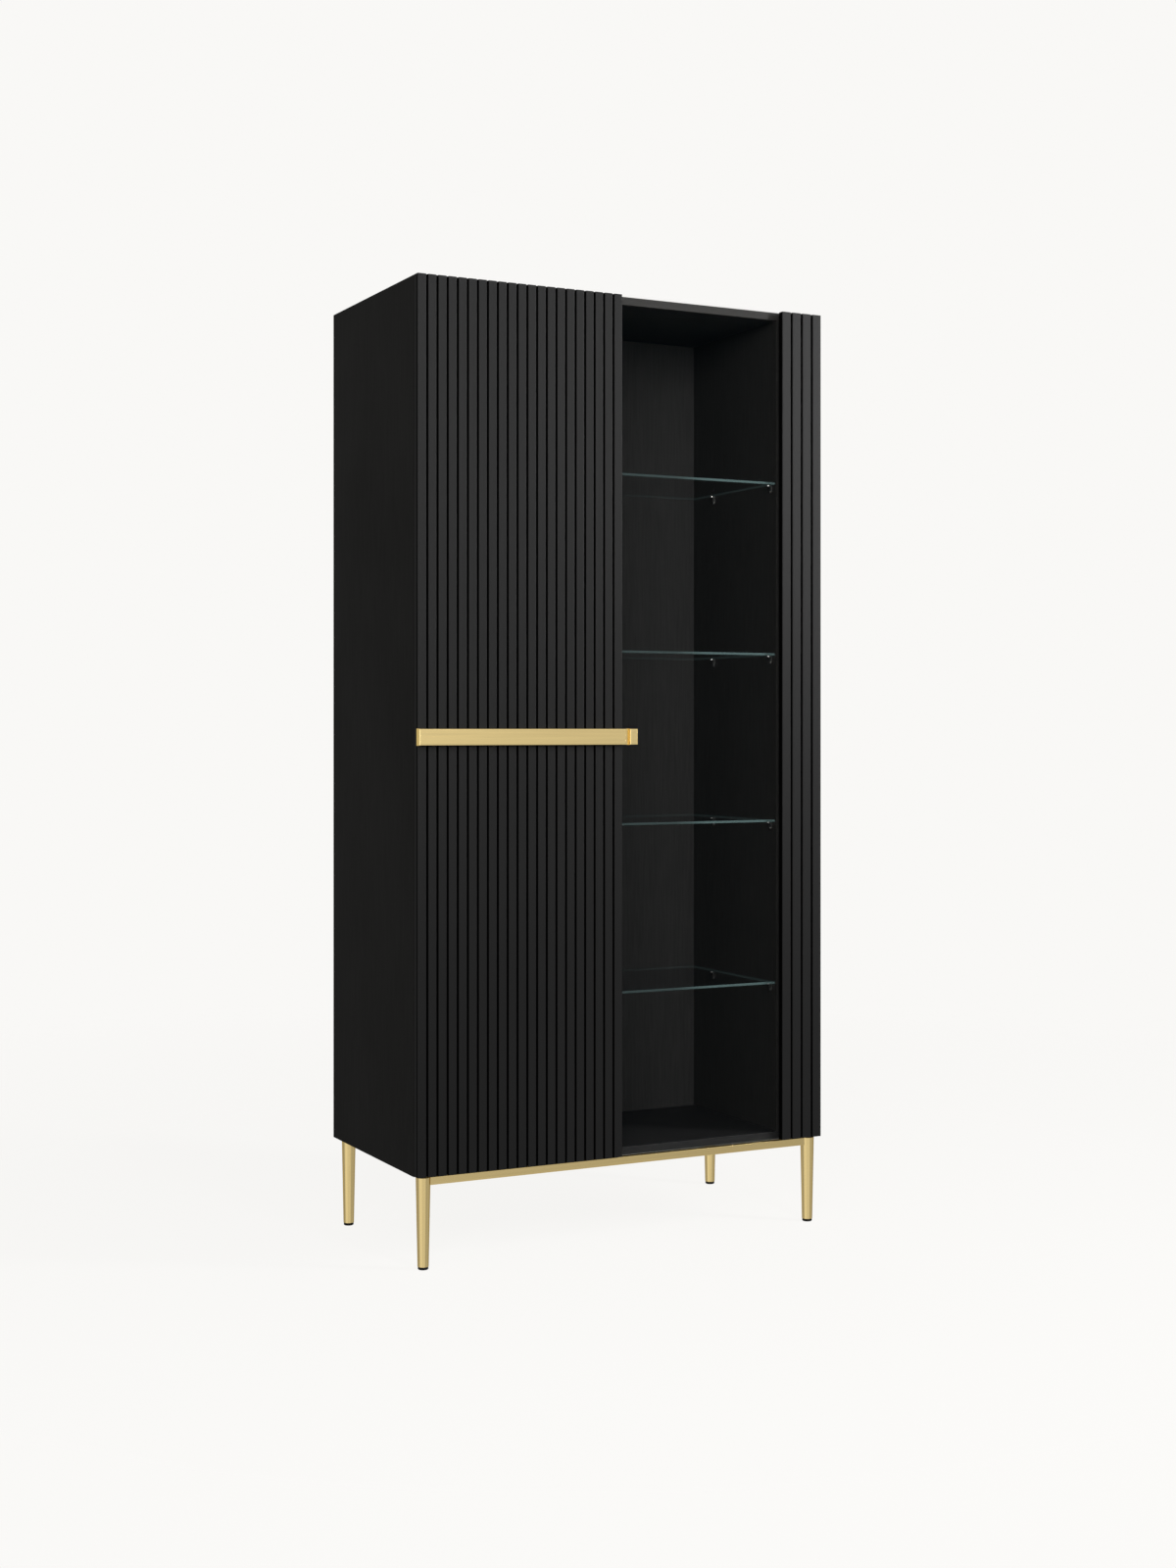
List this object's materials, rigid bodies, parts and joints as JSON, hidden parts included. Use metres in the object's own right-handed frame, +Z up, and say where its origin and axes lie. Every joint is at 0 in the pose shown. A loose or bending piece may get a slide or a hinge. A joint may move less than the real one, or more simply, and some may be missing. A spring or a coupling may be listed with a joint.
{
  "type": "bookcase with glass doors",
  "caption": "Tall black bookcase on tapered gold legs, with a fluted door beside a clear glass door hung on a fluted stile, gold handles and glass shelves.",
  "frame": {"origin": "middle of the footprint of the whole bookcase, at the floor", "axes": "+X to the right as seen from the front, +Y from the doors to the rear panel, +Z up"},
  "size_m": [0.9024, 0.47, 1.876],
  "materials": {
    "black_board": "matt black melamine-faced board",
    "fluted_lacquer": "matt black lacquered fibreboard",
    "rear_board": "black faced hardboard",
    "brushed_gold": "brushed gold",
    "clear_glass": "clear toughened glass with polished edges",
    "plated_steel": "nickel plated",
    "black_rubber": "matt black",
    "clear_rubber": "clear soft plastic",
    "beech": "raw beech"
  },
  "bodies": {
    "body": {"left_side": "black_board", "right_side": "black_board", "top_panel": "black_board", "bottom_panel": "black_board", "partition": "black_board", "column_wall": "black_board", "display_back": "black_board", "rear_panel": "rear_board", "glass_shelf_1": "clear_glass", "glass_shelf_2": "clear_glass", "glass_shelf_3": "clear_glass", "glass_shelf_4": "clear_glass", "storage_shelf_1": "black_board", "storage_shelf_2": "black_board", "storage_shelf_3": "black_board", "storage_shelf_4": "black_board", "glass_shelf_pins": "plated_steel", "storage_shelf_pins": "plated_steel", "cam_locks": "plated_steel", "cam_bolts": "plated_steel", "dowels": "beech", "wall_screws": "plated_steel", "left_hinge_plates": "plated_steel", "left_hinge_plate_screws": "plated_steel", "left_hinge_arms": "plated_steel", "left_hinge_links": "plated_steel", "right_hinge_plates": "plated_steel", "right_hinge_plate_screws": "plated_steel", "right_hinge_arms": "plated_steel", "right_hinge_links": "plated_steel", "front_left_leg": "brushed_gold", "front_right_leg": "brushed_gold", "rear_left_leg": "brushed_gold", "rear_right_leg": "brushed_gold", "front_left_foot_pad": "black_rubber", "front_right_foot_pad": "black_rubber", "rear_left_foot_pad": "black_rubber", "rear_right_foot_pad": "black_rubber", "leg_plates": "plated_steel", "leg_plate_screws": "plated_steel", "front_rail": "brushed_gold", "rear_rail": "brushed_gold"},
    "left_door": {"fluted_door": "fluted_lacquer", "long_handle": "brushed_gold", "long_handle_screws": "plated_steel", "left_hinge_cups": "plated_steel", "left_hinge_cup_screws": "plated_steel", "fluted_door_bumpers": "clear_rubber"},
    "right_door": {"fluted_stile": "fluted_lacquer", "door_glass": "clear_glass", "short_handle": "brushed_gold", "short_handle_screw": "plated_steel", "short_handle_washer": "clear_rubber", "right_hinge_cups": "plated_steel", "right_hinge_cup_screws": "plated_steel", "glass_door_bumpers": "clear_rubber"}
  },
  "joints": [
    {"name": "left_door_hinge", "type": "hinge", "parent": "body", "child": "left_door", "pos_m": [-0.44275, -0.2145, 1.005], "axis": [0, 0, -1], "range_deg": [0, 105]},
    {"name": "right_door_hinge", "type": "hinge", "parent": "body", "child": "right_door", "pos_m": [0.44525, -0.2145, 1.005], "axis": [0, 0, 1], "range_deg": [0, 105]}
  ]
}
